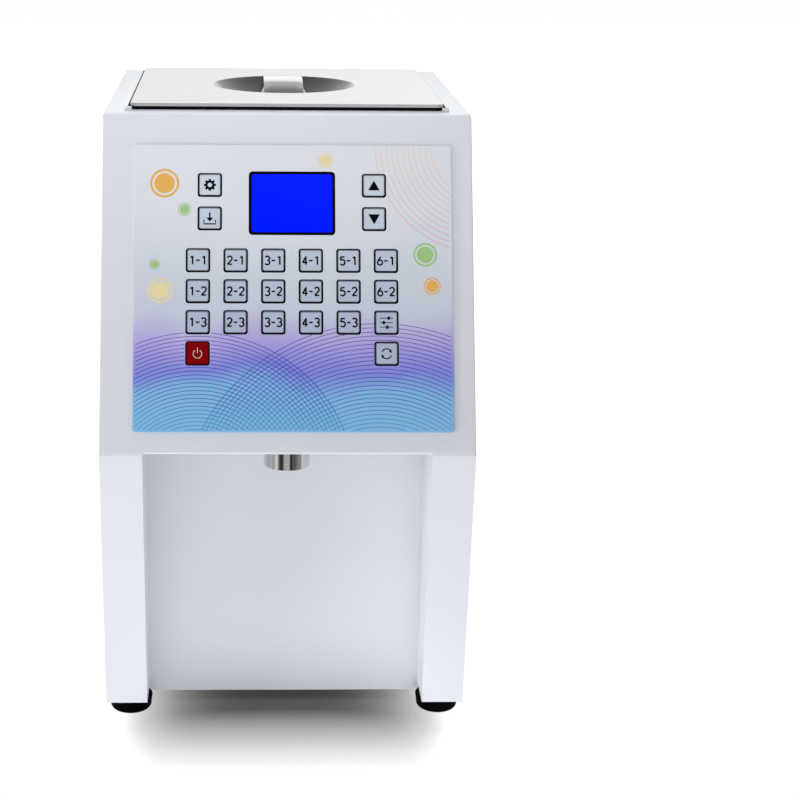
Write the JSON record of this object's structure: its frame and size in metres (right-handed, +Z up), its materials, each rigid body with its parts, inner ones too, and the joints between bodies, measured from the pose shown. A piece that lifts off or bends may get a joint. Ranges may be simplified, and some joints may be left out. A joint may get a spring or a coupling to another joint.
{
  "type": "milk powder dispenser",
  "caption": "Counter-top milk powder dispenser: painted cabinet on two legs, sloped keypad front with display, steel hopper lid, auger and down spout over a cup bay.",
  "frame": {"origin": "on the floor under the middle of the cabinet", "axes": "+Z up, the front faces -Y, +X to the right seen from the front"},
  "size_m": [0.28, 0.386, 0.4728],
  "materials": {
    "painted_sheet": "satin powder coat",
    "zinc_steel": "zinc plated",
    "stainless": "brushed",
    "polished_stainless": "polished",
    "black_rubber": "matt",
    "acetal": "moulded",
    "motor_case": "black oxide",
    "panel_film": "satin printed film",
    "key_film": "satin printed film",
    "key_red": "satin printed film",
    "display_blue": "gloss",
    "display_frame": "matt",
    "board": "solder mask",
    "standoff_brass": "turned",
    "black_plastic": "moulded",
    "rocker_red": "moulded"
  },
  "bodies": {
    "cabinet": {"left_side_panel": "painted_sheet", "right_side_panel": "painted_sheet", "top_hood": "painted_sheet", "bay_liner": "painted_sheet", "rear_cover": "painted_sheet", "chassis_shelf": "zinc_steel", "base_pan": "zinc_steel", "motor_bracket": "zinc_steel", "m3_screws": "zinc_steel", "foot_screws": "zinc_steel", "power_supply": "zinc_steel", "hopper": "stainless", "auger_tube": "stainless", "spout": "polished_stainless", "feet": "black_rubber", "shaft_bushes": "acetal", "gearmotor": "motor_case", "keypad_panel": "panel_film", "display_lens": "display_blue", "display_module": "display_frame", "control_board": "board", "board_standoffs": "standoff_brass", "power_inlet": "black_plastic", "switch_body": "black_plastic"},
    "lid_lift": {"lid": "stainless", "lid_handle": "stainless", "lid_gasket": "black_rubber"},
    "auger_drive": {"auger": "stainless", "drive_gear": "acetal", "shaft_coupling": "stainless", "motor_shaft": "stainless"},
    "agitator_drive": {"agitator": "stainless", "agitator_gear": "acetal"},
    "rocker": {"switch_rocker": "rocker_red"},
    "key_1_1": {"key_1_1": "key_film"},
    "key_2_1": {"key_2_1": "key_film"},
    "key_3_1": {"key_3_1": "key_film"},
    "key_4_1": {"key_4_1": "key_film"},
    "key_5_1": {"key_5_1": "key_film"},
    "key_6_1": {"key_6_1": "key_film"},
    "key_1_2": {"key_1_2": "key_film"},
    "key_2_2": {"key_2_2": "key_film"},
    "key_3_2": {"key_3_2": "key_film"},
    "key_4_2": {"key_4_2": "key_film"},
    "key_5_2": {"key_5_2": "key_film"},
    "key_6_2": {"key_6_2": "key_film"},
    "key_1_3": {"key_1_3": "key_film"},
    "key_2_3": {"key_2_3": "key_film"},
    "key_3_3": {"key_3_3": "key_film"},
    "key_4_3": {"key_4_3": "key_film"},
    "key_5_3": {"key_5_3": "key_film"},
    "key_mode": {"key_mode": "key_film"},
    "key_power": {"key_power": "key_red"},
    "key_repeat": {"key_repeat": "key_film"},
    "key_set": {"key_set": "key_film"},
    "key_store": {"key_store": "key_film"},
    "key_up": {"key_up": "key_film"},
    "key_down": {"key_down": "key_film"}
  },
  "joints": [
    {"name": "lid_lift_off", "type": "slide", "parent": "cabinet", "child": "lid_lift", "axis": [0, 0, 1], "range_m": [0, 0.12]},
    {"name": "auger_spin", "type": "hinge", "parent": "cabinet", "child": "auger_drive", "pos_m": [0, 0, 0.254], "axis": [0, 1, 0], "continuous": true},
    {"name": "agitator_spin", "type": "hinge", "parent": "cabinet", "child": "agitator_drive", "pos_m": [0, 0, 0.302], "axis": [0, 1, 0], "continuous": true},
    {"name": "rocker_tilt", "type": "hinge", "parent": "cabinet", "child": "rocker", "pos_m": [-0.08, 0.186, 0.096], "axis": [1, 0, 0], "range_deg": [0, 16]},
    {"name": "key_1_1_press", "type": "slide", "parent": "cabinet", "child": "key_1_1", "axis": [0, 0.9205, -0.3907], "range_m": [0, 0.0004], "stiffness_N_per_m": 1500},
    {"name": "key_2_1_press", "type": "slide", "parent": "cabinet", "child": "key_2_1", "axis": [0, 0.9205, -0.3907], "range_m": [0, 0.0004], "stiffness_N_per_m": 1500},
    {"name": "key_3_1_press", "type": "slide", "parent": "cabinet", "child": "key_3_1", "axis": [0, 0.9205, -0.3907], "range_m": [0, 0.0004], "stiffness_N_per_m": 1500},
    {"name": "key_4_1_press", "type": "slide", "parent": "cabinet", "child": "key_4_1", "axis": [0, 0.9205, -0.3907], "range_m": [0, 0.0004], "stiffness_N_per_m": 1500},
    {"name": "key_5_1_press", "type": "slide", "parent": "cabinet", "child": "key_5_1", "axis": [0, 0.9205, -0.3907], "range_m": [0, 0.0004], "stiffness_N_per_m": 1500},
    {"name": "key_6_1_press", "type": "slide", "parent": "cabinet", "child": "key_6_1", "axis": [0, 0.9205, -0.3907], "range_m": [0, 0.0004], "stiffness_N_per_m": 1500},
    {"name": "key_1_2_press", "type": "slide", "parent": "cabinet", "child": "key_1_2", "axis": [0, 0.9205, -0.3907], "range_m": [0, 0.0004], "stiffness_N_per_m": 1500},
    {"name": "key_2_2_press", "type": "slide", "parent": "cabinet", "child": "key_2_2", "axis": [0, 0.9205, -0.3907], "range_m": [0, 0.0004], "stiffness_N_per_m": 1500},
    {"name": "key_3_2_press", "type": "slide", "parent": "cabinet", "child": "key_3_2", "axis": [0, 0.9205, -0.3907], "range_m": [0, 0.0004], "stiffness_N_per_m": 1500},
    {"name": "key_4_2_press", "type": "slide", "parent": "cabinet", "child": "key_4_2", "axis": [0, 0.9205, -0.3907], "range_m": [0, 0.0004], "stiffness_N_per_m": 1500},
    {"name": "key_5_2_press", "type": "slide", "parent": "cabinet", "child": "key_5_2", "axis": [0, 0.9205, -0.3907], "range_m": [0, 0.0004], "stiffness_N_per_m": 1500},
    {"name": "key_6_2_press", "type": "slide", "parent": "cabinet", "child": "key_6_2", "axis": [0, 0.9205, -0.3907], "range_m": [0, 0.0004], "stiffness_N_per_m": 1500},
    {"name": "key_1_3_press", "type": "slide", "parent": "cabinet", "child": "key_1_3", "axis": [0, 0.9205, -0.3907], "range_m": [0, 0.0004], "stiffness_N_per_m": 1500},
    {"name": "key_2_3_press", "type": "slide", "parent": "cabinet", "child": "key_2_3", "axis": [0, 0.9205, -0.3907], "range_m": [0, 0.0004], "stiffness_N_per_m": 1500},
    {"name": "key_3_3_press", "type": "slide", "parent": "cabinet", "child": "key_3_3", "axis": [0, 0.9205, -0.3907], "range_m": [0, 0.0004], "stiffness_N_per_m": 1500},
    {"name": "key_4_3_press", "type": "slide", "parent": "cabinet", "child": "key_4_3", "axis": [0, 0.9205, -0.3907], "range_m": [0, 0.0004], "stiffness_N_per_m": 1500},
    {"name": "key_5_3_press", "type": "slide", "parent": "cabinet", "child": "key_5_3", "axis": [0, 0.9205, -0.3907], "range_m": [0, 0.0004], "stiffness_N_per_m": 1500},
    {"name": "key_mode_press", "type": "slide", "parent": "cabinet", "child": "key_mode", "axis": [0, 0.9205, -0.3907], "range_m": [0, 0.0004], "stiffness_N_per_m": 1500},
    {"name": "key_power_press", "type": "slide", "parent": "cabinet", "child": "key_power", "axis": [0, 0.9205, -0.3907], "range_m": [0, 0.0004], "stiffness_N_per_m": 1500},
    {"name": "key_repeat_press", "type": "slide", "parent": "cabinet", "child": "key_repeat", "axis": [0, 0.9205, -0.3907], "range_m": [0, 0.0004], "stiffness_N_per_m": 1500},
    {"name": "key_set_press", "type": "slide", "parent": "cabinet", "child": "key_set", "axis": [0, 0.9205, -0.3907], "range_m": [0, 0.0004], "stiffness_N_per_m": 1500},
    {"name": "key_store_press", "type": "slide", "parent": "cabinet", "child": "key_store", "axis": [0, 0.9205, -0.3907], "range_m": [0, 0.0004], "stiffness_N_per_m": 1500},
    {"name": "key_up_press", "type": "slide", "parent": "cabinet", "child": "key_up", "axis": [0, 0.9205, -0.3907], "range_m": [0, 0.0004], "stiffness_N_per_m": 1500},
    {"name": "key_down_press", "type": "slide", "parent": "cabinet", "child": "key_down", "axis": [0, 0.9205, -0.3907], "range_m": [0, 0.0004], "stiffness_N_per_m": 1500}
  ],
  "couplings": [
    {"joint": "agitator_spin", "follows": "auger_spin", "ratio": -0.6}
  ]
}
